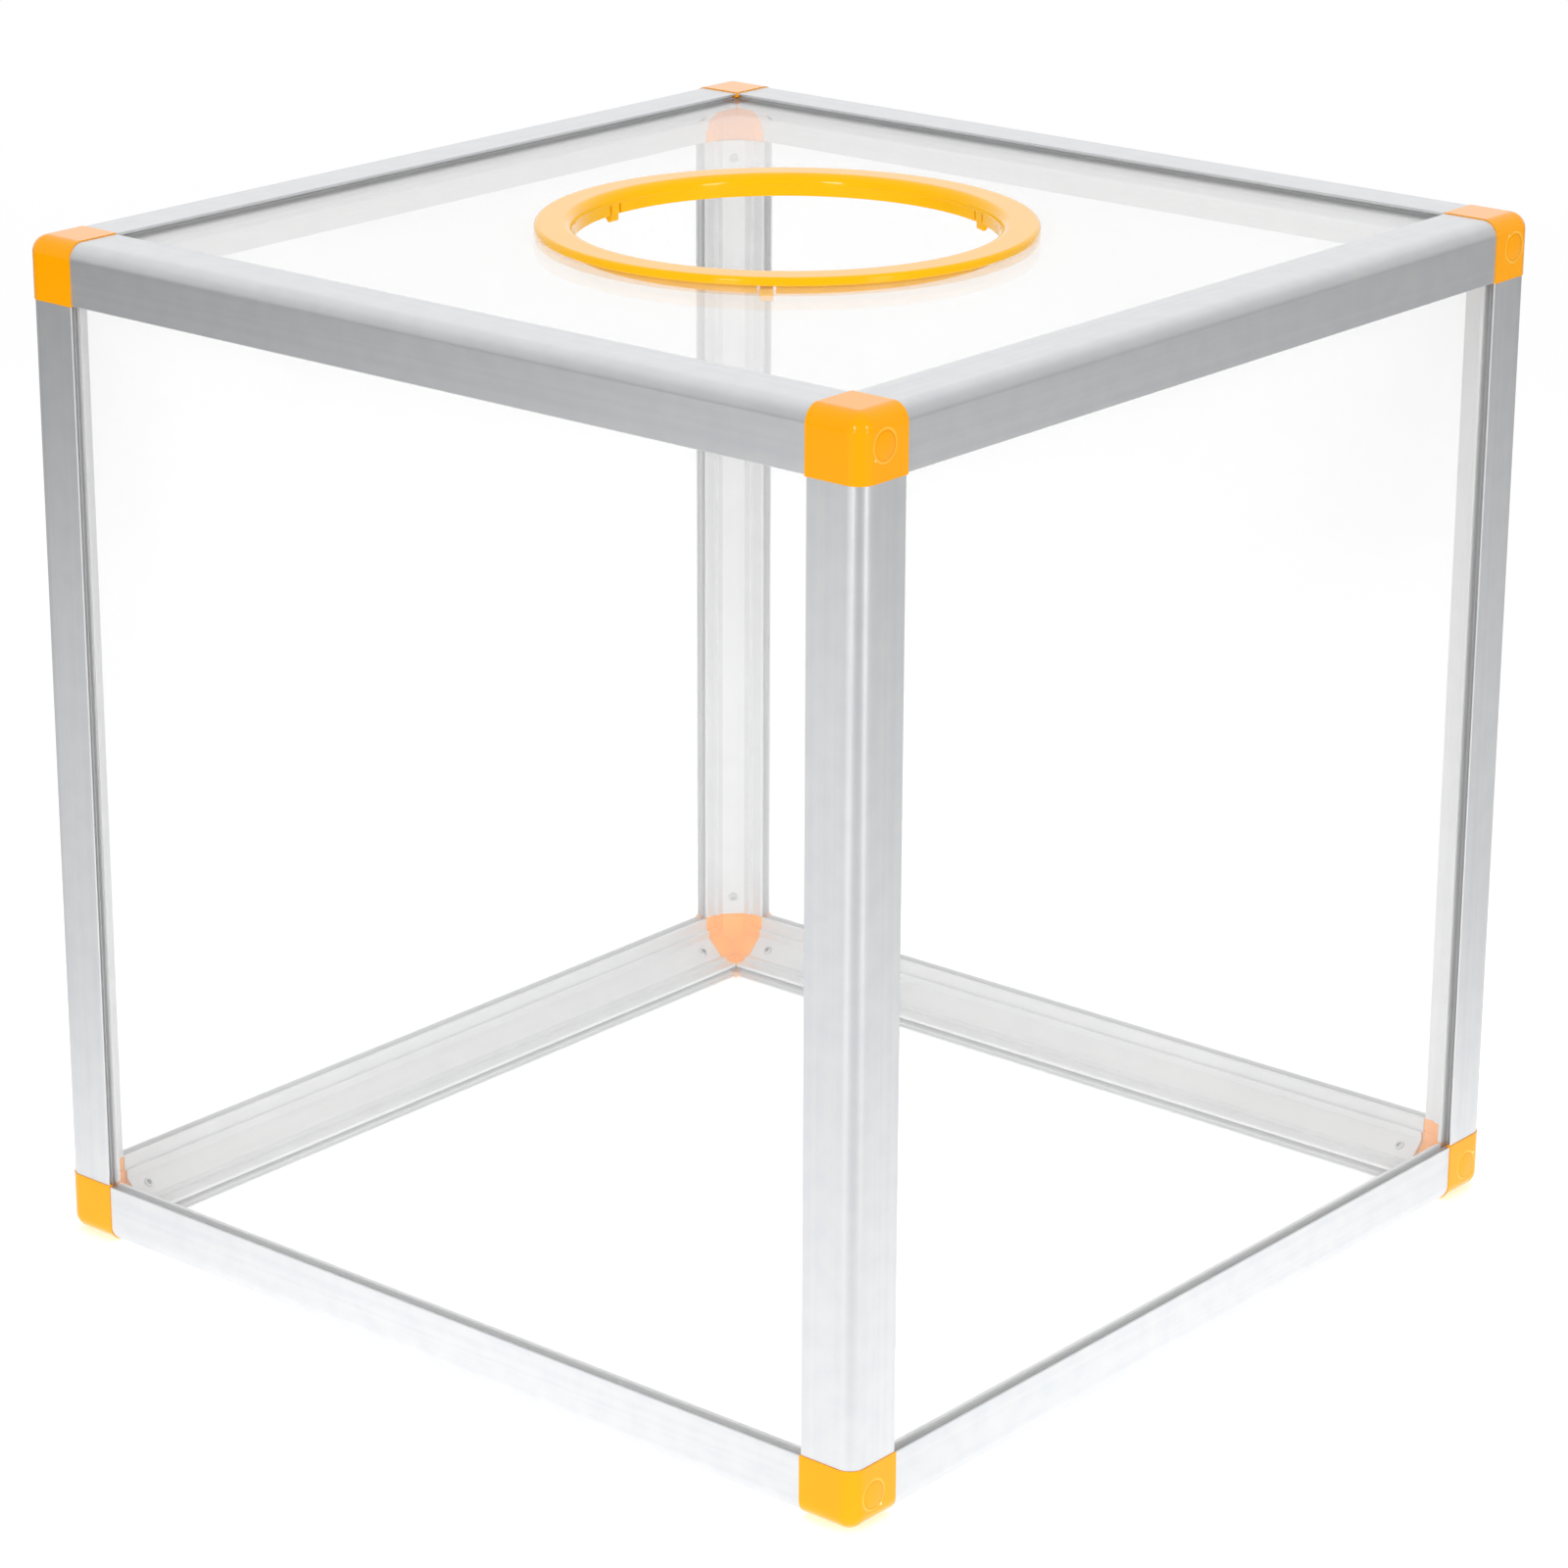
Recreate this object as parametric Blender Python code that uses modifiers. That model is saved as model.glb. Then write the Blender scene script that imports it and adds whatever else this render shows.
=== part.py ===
"""Raffle box: a clear cube in an aluminium frame with moulded corners and a ringed hand hole.

The frame is made of twelve lengths of one slotted profile, joined at each corner by a plastic
connector whose three legs go into the profiles and are held there by small set screws. Six
acrylic panels sit in the slots. The top panel has a round hole, and a plastic ring snaps into it.
The front is -Y, the origin is at the bottom centre, and the unit is the metre.
"""

from math import cos, pi, radians, sin, sqrt

import bmesh
import bpy
from mathutils import Matrix, Vector

# Overall size, over the corner connectors
WIDTH = 0.300
DEPTH = 0.300
HEIGHT = 0.300

# Clearances and overruns
GAP = 0.0003  # between pieces that touch
OVERRUN = 0.002  # how far a cutter runs past what it cuts
WELD = 0.00001  # merge distance

# Panels
PANEL_THICKNESS = 0.002

# Profile, measured from its two outer faces
PROFILE_WIDTH = 0.0174
SKIN = 0.0012  # outer skin and the slot's outer lip
LIP_LENGTH = 0.004  # thin part of the slot's inner lip
LIP_THICKNESS = 0.0009
FLANGE_THICKNESS = 0.002  # thick part of the inner lip
FLANGE_FLAT = 0.0025  # from the step to the slanted face
WALL = 0.0012  # round the hollow chamber
CHAMBER_NECK = 0.0012  # where the chamber's square part runs into its slanted part

# Connector
CAP_PROUD = 0.0003  # its outer faces stand this far out of the profiles' faces
CAP_RADIUS = 0.005  # rounded outer edges
WEB_STEP = 0.0002  # slanted web above the leg's slanted face
LEG_LENGTH = 0.025
LEG_ROOT = 0.006  # how deep the leg starts inside the block
MARK_DIAMETER = 0.0095  # shallow round recess on one outer face
MARK_DEPTH = 0.00025

# Set screws
SCREW_DIAMETER = 0.003
SCREW_LENGTH = 0.005
SCREW_PROUD = 0.0004
SCREW_CHAMFER = 0.0003
SCREW_PLACE = 0.024  # from the frame's corner, along the profile
SOCKET_ACROSS = 0.0015
SOCKET_DEPTH = 0.0014

# Ring in the hand hole
MOUTH_DIAMETER = 0.120
RING_FLANGE = 0.011  # width of the flange, from the mouth's wall to its outer edge
RING_HEIGHT = 0.0023  # flange thickness
RING_EDGE_RADIUS = 0.0012
RING_FOOT_CHAMFER = 0.0003
THROAT_RADIUS = 0.003  # blend from the flange into the mouth
THROAT_STEP = 0.0002  # fine step below the blend
COLLAR_WALL = 0.002
COLLAR_REACH = 0.0018  # below the top panel
CLIP_WIDTH = 0.0036
CLIP_SLIT = 0.0008  # on each side of a clip
CLIP_FREE = 0.0029  # height of the slits above the collar's lower edge
CLIP_INSET = 0.0005  # hook's inner face, from the mouth's wall
CLIP_DROP = 0.0039  # lowest point of a hook below the top panel
CLIP_HOOK = 0.0014  # hook's reach outside the collar
CLIP_CATCH = 0.0013  # height of the hook's outer edge
CLIP_TOE = 0.0008  # flat on the hook's lower end
CLIP_NOSE = 0.0003  # small slope on the hook's inner lower edge
CLIP_COUNT = 3
CLIP_ANGLE = radians(65)

# Facets of round shapes
EDGE_SEGMENTS = 6
CHAMBER_SEGMENTS = 3
BORE_SEGMENTS = 10
SCREW_SEGMENTS = 10
SOCKET_SIDES = 6
MARK_SEGMENTS = 24
RING_SEGMENTS = 64
ROUND_SHARE = 0.5  # bevel profile that makes a true arc
SHARP_ANGLE = radians(35)

# Colours, roughness and metal share of each finish
ORANGE = ((0.95, 0.40, 0.01, 1.0), 0.22, 0.0)
RING_ORANGE = ((0.95, 0.47, 0.01, 1.0), 0.20, 0.0)
ALUMINIUM = ((0.78, 0.78, 0.79, 1.0), 0.38, 1.0)
ACRYLIC = ((0.95, 0.97, 0.98, 1.0), 0.03, 0.0)
STEEL = ((0.60, 0.60, 0.62, 1.0), 0.30, 1.0)
ACRYLIC_ALPHA = 0.15

# Sizes that follow from those above
SLOT_FAR = SKIN + PANEL_THICKNESS + 2 * GAP
CHAMBER_FLANGE = SLOT_FAR + WALL
CHAMBER_SIDE = CHAMBER_FLANGE + CHAMBER_NECK
SLOT_FLOOR = CHAMBER_SIDE + WALL
LIP_FACE = SLOT_FAR + LIP_THICKNESS
LIP_ROOT = PROFILE_WIDTH - LIP_LENGTH
FLANGE_FACE = SLOT_FAR + FLANGE_THICKNESS
SLANT_START = LIP_ROOT - FLANGE_FLAT
SLANT_SUM = SLANT_START + FLANGE_FACE
PROFILE_RADIUS = CAP_RADIUS - CAP_PROUD
CHAMBER_SUM = SLANT_SUM - WALL * sqrt(2)
LEG_SUM = CHAMBER_SUM - GAP * sqrt(2)
CAP_EDGE = PROFILE_WIDTH + 2 * CAP_PROUD
WEB_SUM = LEG_SUM + 2 * CAP_PROUD + WEB_STEP * sqrt(2)
PANEL_INSET = CAP_PROUD + SLOT_FLOOR + GAP
PANEL_FACE = CAP_PROUD + SKIN + GAP
PANEL_TOP = HEIGHT - PANEL_FACE
BORE_DIAMETER = SCREW_DIAMETER + 2 * GAP
SLANT_DISTANCE = SLANT_SUM / sqrt(2)
MOUTH_RADIUS = MOUTH_DIAMETER / 2
COLLAR_RADIUS = MOUTH_RADIUS + COLLAR_WALL

SIZES = Vector((WIDTH, DEPTH, HEIGHT))
CENTRE = Vector((0, 0, HEIGHT / 2))
AXES = (Vector((1, 0, 0)), Vector((0, 1, 0)), Vector((0, 0, 1)))
SIDE_NAMES = ({-1: "left", 1: "right"}, {-1: "front", 1: "back"}, {-1: "bottom", 1: "top"})


def start_scene():
    """Remove what the scene holds and add the part's collections and its parent empty."""
    for obj in list(bpy.data.objects):
        bpy.data.objects.remove(obj, do_unlink=True)
    for name in ("raffle_box", "cutters"):
        collection = bpy.data.collections.new(name)
        bpy.context.scene.collection.children.link(collection)
    root = bpy.data.objects.new("raffle_box_origin", None)
    bpy.data.collections["raffle_box"].objects.link(root)
    return root


def finish(name, look):
    """Make a material from a colour, a roughness and a metal share."""
    colour, roughness, metallic = look
    material = bpy.data.materials.new(name)
    material.use_nodes = True
    shader = material.node_tree.nodes["Principled BSDF"]
    shader.inputs["Base Color"].default_value = colour
    shader.inputs["Roughness"].default_value = roughness
    shader.inputs["Metallic"].default_value = metallic
    return material


def clear_finish(name):
    """Make the see-through material of the panels."""
    material = finish(name, ACRYLIC)
    material.node_tree.nodes["Principled BSDF"].inputs["Alpha"].default_value = ACRYLIC_ALPHA
    return material


def tool(name, mesh, matrix=None):
    """Place a mesh as a shape that is cut from, or joined to, another one."""
    obj = bpy.data.objects.new(name, mesh)
    bpy.data.collections["cutters"].objects.link(obj)
    obj.hide_render = True
    obj.display_type = "WIRE"
    obj.matrix_world = matrix or Matrix.Identity(4)
    return obj


def evaluated_mesh(obj):
    """Return the mesh that an object shows, welded, and remove the object."""
    bpy.context.view_layer.update()
    graph = bpy.context.evaluated_depsgraph_get()
    mesh = bpy.data.meshes.new_from_object(obj.evaluated_get(graph))
    bm = bmesh.new()
    bm.from_mesh(mesh)
    bmesh.ops.remove_doubles(bm, verts=bm.verts, dist=WELD)
    bm.to_mesh(mesh)
    bm.free()
    bpy.data.objects.remove(obj, do_unlink=True)
    return mesh


def combine(mesh, steps):
    """Cut from or join to a mesh each tool in a list of (operation, tool) steps."""
    obj = tool("blank", mesh)
    for operation, other in steps:
        modifier = obj.modifiers.new(operation.lower(), "BOOLEAN")
        modifier.operation = operation
        modifier.solver = "EXACT"
        modifier.object = other
    result = evaluated_mesh(obj)
    for operation, other in steps:
        bpy.data.objects.remove(other, do_unlink=True)
    return result


def box_mesh(name, low, high):
    """Make a box from its lowest to its highest corner."""
    low = Vector(low)
    high = Vector(high)
    bm = bmesh.new()
    bmesh.ops.create_cube(bm, size=1.0)
    bmesh.ops.scale(bm, vec=high - low, verts=bm.verts)
    bmesh.ops.translate(bm, vec=(low + high) / 2, verts=bm.verts)
    mesh = bpy.data.meshes.new(name)
    bm.to_mesh(mesh)
    bm.free()
    return mesh


def rod_mesh(name, diameter, low, high, segments):
    """Make a cylinder round Z between two heights."""
    bm = bmesh.new()
    bmesh.ops.create_cone(
        bm, cap_ends=True, segments=segments, radius1=diameter / 2, radius2=diameter / 2, depth=high - low
    )
    bmesh.ops.translate(bm, vec=(0, 0, (low + high) / 2), verts=bm.verts)
    mesh = bpy.data.meshes.new(name)
    bm.to_mesh(mesh)
    bm.free()
    return mesh


def outline_mesh(name, loops, low, high):
    """Extrude closed outlines between two heights: the first is the outside, the others are holes."""
    curve = bpy.data.curves.new(name, "CURVE")
    curve.dimensions = "2D"
    curve.fill_mode = "BOTH"
    curve.extrude = (high - low) / 2
    for loop in loops:
        spline = curve.splines.new("POLY")
        spline.points.add(len(loop) - 1)
        for point, (x, y) in zip(spline.points, loop):
            point.co = (x, y, 0, 1)
        spline.use_cyclic_u = True
    mesh = evaluated_mesh(tool(name, curve))
    mesh.transform(Matrix.Translation((0, 0, (low + high) / 2)))
    return mesh


def turned_mesh(name, profile, segments, closed):
    """Turn a profile of (radius, height) points round Z with a Screw modifier."""
    edges = [(index, index + 1) for index in range(len(profile) - 1)]
    if closed:
        edges.append((len(profile) - 1, 0))
    mesh = bpy.data.meshes.new(name)
    mesh.from_pydata([(radius, 0, height) for radius, height in profile], edges, [])
    obj = tool(name, mesh)
    screw = obj.modifiers.new("turn", "SCREW")
    screw.axis = "Z"
    screw.angle = 2 * pi
    screw.steps = segments
    screw.render_steps = segments
    screw.use_merge_vertices = True
    screw.merge_threshold = WELD
    return evaluated_mesh(obj)


def arc(centre, radius, start, end, segments):
    """Points on an arc from one angle to another, both ends included."""
    angles = [start + (end - start) * index / segments for index in range(segments + 1)]
    return [(centre[0] + radius * cos(angle), centre[1] + radius * sin(angle)) for angle in angles]


def mirrored(points):
    """Points followed by their mirror images over the diagonal, as one closed outline."""
    return points + [(y, x) for x, y in reversed(points)]


def turn(axis):
    """Rotation that takes Z to an axis and keeps the order of the three axes."""
    columns = (AXES[(axis + 1) % 3], AXES[(axis + 2) % 3], AXES[axis])
    return Matrix(columns).transposed().to_4x4()


def bore_matrix(place, offset):
    """Places Z on a screw's line: along the diagonal of the section, at a distance along it."""
    inward = Vector((1, 1, 0)).normalized()
    matrix = Matrix((AXES[2].cross(inward), AXES[2], inward)).transposed().to_4x4()
    matrix.translation = Vector((offset, offset, place))
    return matrix


def bore_mesh():
    """Cutter for a screw's hole, from the slanted face to past the screw's inner end."""
    inner = SLANT_DISTANCE + SCREW_PROUD - SCREW_LENGTH - GAP
    return rod_mesh("bore", BORE_DIAMETER, inner, SLANT_DISTANCE + OVERRUN, BORE_SEGMENTS)


def profile_mesh(axis):
    """One length of profile along Z, with its outer edge on Z and a screw hole near each end."""
    half = SIZES[axis] / 2
    length = half - CAP_EDGE - GAP
    corner = (PROFILE_RADIUS, PROFILE_RADIUS)
    side = [
        (PROFILE_WIDTH, 0),
        (PROFILE_WIDTH, SKIN),
        (SLOT_FLOOR, SKIN),
        (SLOT_FLOOR, SLOT_FAR),
        (PROFILE_WIDTH, SLOT_FAR),
        (PROFILE_WIDTH, LIP_FACE),
        (LIP_ROOT, LIP_FACE),
        (LIP_ROOT, FLANGE_FACE),
        (SLANT_START, FLANGE_FACE),
    ]
    outside = mirrored(side) + arc(corner, PROFILE_RADIUS, pi, 1.5 * pi, EDGE_SEGMENTS)
    chamber_side = [
        (CHAMBER_SIDE, SKIN),
        (CHAMBER_SIDE, CHAMBER_FLANGE),
        (CHAMBER_SUM - CHAMBER_FLANGE, CHAMBER_FLANGE),
    ]
    chamber = mirrored(chamber_side) + arc(corner, PROFILE_RADIUS - SKIN, pi, 1.5 * pi, CHAMBER_SEGMENTS)
    bar = outline_mesh("profile", [outside, chamber], -length, length)
    steps = []
    for side in (-1, 1):
        place = side * (half - SCREW_PLACE)
        steps.append(("DIFFERENCE", tool("bore", bore_mesh(), bore_matrix(place, 0))))
    return combine(bar, steps)


def leg_outline():
    """Section of a connector's leg: the profile's chamber less the clearance."""
    side = CAP_PROUD + CHAMBER_SIDE - GAP
    near = CAP_PROUD + SKIN + GAP
    flange = CAP_PROUD + CHAMBER_FLANGE + GAP
    slant = LEG_SUM + 2 * CAP_PROUD - flange
    corner = (CAP_RADIUS, CAP_RADIUS)
    points = [(side, near), (side, flange), (slant, flange)]
    return mirrored(points) + arc(corner, CAP_RADIUS - near, pi, 1.5 * pi, CHAMBER_SEGMENTS)


def hollow_mesh():
    """Cutter for the open inner side of a connector: a cube less three crossing webs."""
    level = CAP_PROUD + CHAMBER_FLANGE
    reach = CAP_PROUD + LIP_ROOT
    side = [(reach, -OVERRUN), (reach, level), (WEB_SUM - level, level)]
    web = mirrored(side) + [(-OVERRUN, -OVERRUN)]
    start = CAP_PROUD + SKIN
    end = CAP_EDGE + OVERRUN
    steps = []
    for axis in range(3):
        mesh = outline_mesh("web", [web], -OVERRUN, end + OVERRUN)
        steps.append(("DIFFERENCE", tool("web", mesh, turn(axis))))
    return combine(box_mesh("hollow", (start, start, start), (end, end, end)), steps)


def block_mesh():
    """Solid corner block with its three outer edges rounded."""
    mesh = box_mesh("block", (0, 0, 0), (CAP_EDGE, CAP_EDGE, CAP_EDGE))
    bm = bmesh.new()
    bm.from_mesh(mesh)
    origin = [vert for vert in bm.verts if vert.co.length < WELD][0]
    bmesh.ops.bevel(
        bm,
        geom=list(origin.link_edges),
        offset=CAP_RADIUS,
        offset_type="OFFSET",
        segments=EDGE_SEGMENTS,
        profile=ROUND_SHARE,
        affect="EDGES",
    )
    bm.to_mesh(mesh)
    bm.free()
    return mesh


def connector_mesh():
    """Corner connector with its outer corner at the origin and its legs along +X, +Y and +Z."""
    floor = CAP_PROUD + SLOT_FLOOR
    end = CAP_EDGE + OVERRUN
    slot_low = (floor, floor, CAP_PROUD + SKIN)
    slot_high = (end, end, CAP_PROUD + SLOT_FAR)
    steps = [("DIFFERENCE", tool("hollow", hollow_mesh()))]
    for axis in range(3):
        steps.append(("DIFFERENCE", tool("slot", box_mesh("slot", slot_low, slot_high), turn(axis))))
    for axis in range(3):
        leg = outline_mesh("leg", [leg_outline()], CAP_EDGE - LEG_ROOT, CAP_EDGE + LEG_LENGTH)
        steps.append(("UNION", tool("leg", leg, turn(axis))))
    for axis in range(3):
        bore = tool("bore", bore_mesh(), turn(axis) @ bore_matrix(SCREW_PLACE, CAP_PROUD))
        steps.append(("DIFFERENCE", bore))
    mark = rod_mesh("mark", MARK_DIAMETER, -OVERRUN, MARK_DEPTH, MARK_SEGMENTS)
    mark.transform(Matrix.Translation((CAP_EDGE / 2, CAP_EDGE / 2, 0)))
    steps.append(("DIFFERENCE", tool("mark", mark, turn(0))))
    return combine(block_mesh(), steps)


def screw_mesh():
    """Set screw along Z, its socket end up at the height of its outer face."""
    top = SLANT_DISTANCE + SCREW_PROUD
    bottom = top - SCREW_LENGTH
    radius = SCREW_DIAMETER / 2
    profile = [
        (0, top),
        (radius - SCREW_CHAMFER, top),
        (radius, top - SCREW_CHAMFER),
        (radius, bottom + SCREW_CHAMFER),
        (radius - SCREW_CHAMFER, bottom),
        (0, bottom),
    ]
    body = turned_mesh("screw", profile, SCREW_SEGMENTS, closed=False)
    across = SOCKET_ACROSS / cos(pi / SOCKET_SIDES)
    socket = rod_mesh("socket", across, top - SOCKET_DEPTH, top + OVERRUN, SOCKET_SIDES)
    return combine(body, [("DIFFERENCE", tool("socket", socket))])


def ring_mesh():
    """Ring with its collar and snap clips, at the height of the top panel's upper face."""
    top = GAP + RING_HEIGHT
    low = -PANEL_THICKNESS - COLLAR_REACH
    radius = MOUTH_RADIUS + RING_FLANGE
    throat = (MOUTH_RADIUS + THROAT_RADIUS, top - THROAT_RADIUS)
    rim = (radius - RING_EDGE_RADIUS, top - RING_EDGE_RADIUS)
    wall = MOUTH_RADIUS + THROAT_STEP
    profile = arc(throat, THROAT_RADIUS, pi, pi / 2, EDGE_SEGMENTS)
    profile += arc(rim, RING_EDGE_RADIUS, pi / 2, 0, EDGE_SEGMENTS)
    profile += [
        (radius, GAP + RING_FOOT_CHAMFER),
        (radius - RING_FOOT_CHAMFER, GAP),
        (COLLAR_RADIUS, GAP),
        (COLLAR_RADIUS, low),
        (wall, low),
        (wall, throat[1] - THROAT_STEP),
    ]
    ring = turned_mesh("ring", profile, RING_SEGMENTS, closed=True)
    steps = []
    for number in range(CLIP_COUNT):
        around = Matrix.Rotation(CLIP_ANGLE + 2 * pi * number / CLIP_COUNT, 4, "Z")
        steps.append(("UNION", tool("hook", hook_mesh(), around)))
        for side in (-1, 1):
            steps.append(("DIFFERENCE", tool("slit", slit_mesh(side), around)))
    return combine(ring, steps)


def hook_mesh():
    """Hook of a snap clip, on +X; the slits then trim its sides."""
    inner = MOUTH_RADIUS + CLIP_INSET
    outer = COLLAR_RADIUS + CLIP_HOOK
    catch = -PANEL_THICKNESS - GAP
    low = -PANEL_THICKNESS - CLIP_DROP
    outline = [
        (inner, catch),
        (inner, low + CLIP_NOSE),
        (inner + CLIP_NOSE, low),
        (inner + CLIP_NOSE + CLIP_TOE, low),
        (outer, catch - CLIP_CATCH),
        (outer, catch),
    ]
    reach = (CLIP_WIDTH + CLIP_SLIT) / 2
    mesh = outline_mesh("hook", [outline], -reach, reach)
    mesh.transform(Matrix.Rotation(pi / 2, 4, "X"))
    return mesh


def slit_mesh(side):
    """Cutter for the slit on one side of a snap clip, on +X."""
    edge = side * CLIP_WIDTH / 2
    far = side * (CLIP_WIDTH / 2 + CLIP_SLIT)
    bottom = -PANEL_THICKNESS - CLIP_DROP - OVERRUN
    top = CLIP_FREE - PANEL_THICKNESS - COLLAR_REACH
    outer = COLLAR_RADIUS + CLIP_HOOK + OVERRUN
    low = (MOUTH_RADIUS - OVERRUN, min(edge, far), bottom)
    high = (outer, max(edge, far), top)
    return box_mesh("slit", low, high)


def panel_mesh(axis):
    """A plain panel square to one axis, centred on the origin."""
    half = SIZES / 2 - Vector((PANEL_INSET, PANEL_INSET, PANEL_INSET))
    half[axis] = PANEL_THICKNESS / 2
    return box_mesh("panel", -half, half)


def top_panel_mesh():
    """The top panel, with the hole that the ring's collar goes through."""
    x = WIDTH / 2 - PANEL_INSET
    y = DEPTH / 2 - PANEL_INSET
    square = [(-x, -y), (x, -y), (x, y), (-x, y)]
    hole = arc((0, 0), COLLAR_RADIUS + GAP, 0, 2 * pi, RING_SEGMENTS)[:-1]
    half = PANEL_THICKNESS / 2
    return outline_mesh("top_panel", [square, hole], -half, half)


def place(name, mesh, matrix, material, root):
    """Add a finished piece to the part."""
    obj = bpy.data.objects.new(name, mesh)
    bpy.data.collections["raffle_box"].objects.link(obj)
    obj.parent = root
    obj.matrix_world = matrix
    if not mesh.materials:
        mesh.materials.append(material)
        mesh.shade_smooth()
        mesh.set_sharp_from_angle(angle=SHARP_ANGLE)
    return obj


def edge_matrix(axis, first_side, second_side):
    """Places a profile on one edge of the frame: its two section axes point into the box."""
    first = (axis + 1) % 3
    second = (axis + 2) % 3
    x_axis = -first_side * AXES[first]
    y_axis = -second_side * AXES[second]
    matrix = Matrix((x_axis, y_axis, x_axis.cross(y_axis))).transposed().to_4x4()
    outer = first_side * AXES[first] * SIZES[first] / 2 + second_side * AXES[second] * SIZES[second] / 2
    matrix.translation = CENTRE + outer
    return matrix


def edge_name(axis, first_side, second_side):
    """Name of the profile on one edge, such as post_front_left or rail_top_front."""
    sides = {(axis + 1) % 3: first_side, (axis + 2) % 3: second_side}
    words = [SIDE_NAMES[index][sides[index]] for index in (2, 1, 0) if index in sides]
    return "_".join(["post" if axis == 2 else "rail"] + words)


def build_frame(root):
    """Twelve profiles and the set screws near both ends of each."""
    aluminium = finish("aluminium", ALUMINIUM)
    steel = finish("screw_steel", STEEL)
    screw = screw_mesh()
    inset = Matrix.Translation((CAP_PROUD, CAP_PROUD, 0))
    for axis in range(3):
        bar = profile_mesh(axis)
        reach = SIZES[axis] / 2 - SCREW_PLACE
        for first_side in (-1, 1):
            for second_side in (-1, 1):
                name = edge_name(axis, first_side, second_side)
                matrix = edge_matrix(axis, first_side, second_side) @ inset
                place(name, bar, matrix, aluminium, root)
                for end in (-1, 1):
                    at_end = matrix @ bore_matrix(end * reach, 0)
                    side = 1 if (at_end.translation - matrix.translation)[axis] > 0 else -1
                    place(f"screw_{name}_{SIDE_NAMES[axis][side]}", screw, at_end, steel, root)


def build_connectors(root):
    """Eight copies of one connector, each turned so that its legs point into the frame."""
    orange = finish("orange_plastic", ORANGE)
    mesh = connector_mesh()
    for x_side in (-1, 1):
        for y_side in (-1, 1):
            for z_side in (-1, 1):
                sides = (x_side, y_side, z_side)
                inward = [-side * axis for side, axis in zip(sides, AXES)]
                order = (0, 1, 2) if x_side * y_side * z_side < 0 else (0, 2, 1)
                matrix = Matrix([inward[index] for index in order]).transposed().to_4x4()
                matrix.translation = CENTRE + Vector([side * size / 2 for side, size in zip(sides, SIZES)])
                words = [SIDE_NAMES[index][sides[index]] for index in (2, 1, 0)]
                place("_".join(["connector"] + words), mesh, matrix, orange, root)


def build_panels(root):
    """Six panels in the profiles' slots."""
    acrylic = clear_finish("clear_acrylic")
    for axis in range(3):
        plain = panel_mesh(axis)
        for side in (-1, 1):
            distance = SIZES[axis] / 2 - PANEL_FACE - PANEL_THICKNESS / 2
            matrix = Matrix.Translation(CENTRE + side * distance * AXES[axis])
            name = SIDE_NAMES[axis][side]
            mesh = top_panel_mesh() if name == "top" else plain
            place(f"panel_{name}", mesh, matrix, acrylic, root)


def build_ring(root):
    """The ring, snapped into the top panel's hole."""
    ring_orange = finish("ring_plastic", RING_ORANGE)
    place("mouth_ring", ring_mesh(), Matrix.Translation((0, 0, PANEL_TOP)), ring_orange, root)


def build_part():
    """Build the whole box."""
    root = start_scene()
    build_frame(root)
    build_connectors(root)
    build_panels(root)
    build_ring(root)


build_part()
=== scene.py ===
"""Looks of the raffle box: satin aluminium frame, glossy orange corners and ring, clear acrylic."""

from math import cos, pi, radians, sin, sqrt, tan

import bmesh
import bpy
from mathutils import Matrix, Vector


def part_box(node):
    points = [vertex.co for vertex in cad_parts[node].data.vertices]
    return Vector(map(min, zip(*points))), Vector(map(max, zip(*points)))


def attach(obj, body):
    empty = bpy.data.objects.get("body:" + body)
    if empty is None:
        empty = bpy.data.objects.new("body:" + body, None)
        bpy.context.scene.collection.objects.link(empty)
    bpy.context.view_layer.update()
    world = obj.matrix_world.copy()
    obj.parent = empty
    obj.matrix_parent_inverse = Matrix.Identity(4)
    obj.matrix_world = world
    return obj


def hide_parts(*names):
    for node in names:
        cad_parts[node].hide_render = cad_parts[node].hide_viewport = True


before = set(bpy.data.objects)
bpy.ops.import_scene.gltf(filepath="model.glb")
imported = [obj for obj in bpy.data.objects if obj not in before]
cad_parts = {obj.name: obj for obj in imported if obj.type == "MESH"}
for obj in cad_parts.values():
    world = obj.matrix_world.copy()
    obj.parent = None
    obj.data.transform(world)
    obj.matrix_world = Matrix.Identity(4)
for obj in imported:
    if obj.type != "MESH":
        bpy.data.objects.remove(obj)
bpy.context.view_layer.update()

# Clearances, in metres
GAP = 0.0003
SEAM = 0.00004  # what is left of a gap where a finished profile meets a cap or a sheet
OVERRUN = 0.002  # how far a cutter runs past what it cuts
WELD = 0.000005  # merge distance

# Profile section, measured from its two outer faces
SKIN = 0.0012
PANEL_THICKNESS = 0.002
LIP_LENGTH = 0.004
LIP_THICKNESS = 0.0009
FLANGE_THICKNESS = 0.002
FLANGE_FLAT = 0.0025
WALL = 0.0012
CHAMBER_NECK = 0.0012
SKIN_LAND = 0.0006  # width of the skin's edge at a slot's mouth
REBATE_DEPTH = 0.0016  # how far that thinner edge goes down
PROFILE_EDGE = 0.00022  # small rounding of the section's edges
CUT_EDGE = 0.00012  # broken edge of a sawn end

# Connector
CAP_PROUD = 0.0003  # its outer faces stand this far out of the profiles' faces
CAP_RADIUS = 0.005
WEB_STEP = 0.0002
LEG_LENGTH = 0.025
LEG_ROOT = 0.006
CAP_EDGE_RADIUS = 0.00018

# Round mark on a connector
MARK_DIAMETER = 0.0095
MARK_DEPTH = 0.00025
MARK_SLOPE = 0.00032
MARK_FLOOR = 0.00008
MARK_SINK = 0.00004
PIP_RADIUS = 0.0005
PIP_ANGLE = radians(141)

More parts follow.
